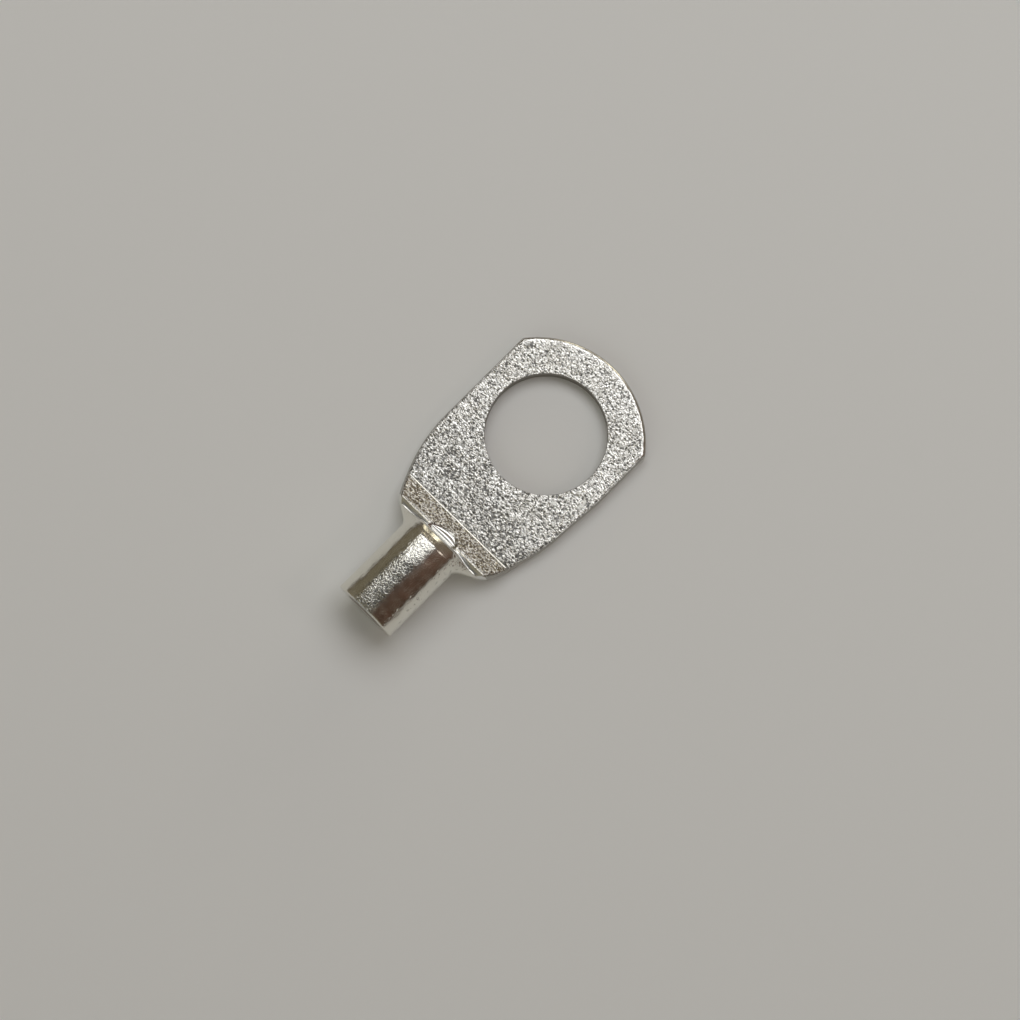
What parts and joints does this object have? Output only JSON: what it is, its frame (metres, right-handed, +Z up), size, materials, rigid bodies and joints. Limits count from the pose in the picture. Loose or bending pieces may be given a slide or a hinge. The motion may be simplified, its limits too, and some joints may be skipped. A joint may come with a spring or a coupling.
{
  "type": "copper cable lug",
  "caption": "Tin-plated copper cable lug pressed from one tube: flat palm with a stud hole, stepped heel and a round crimp barrel.",
  "frame": {"origin": "centre of the stud hole, on the underside of the palm", "axes": "+X from the stud hole to the open end of the barrel, +Z up from the contact face through the stud hole"},
  "size_m": [0.0151, 0.0074, 0.003],
  "materials": {
    "tinned_copper": "satin"
  },
  "bodies": {
    "root": {"cable_lug": "tinned_copper"}
  },
  "joints": []
}
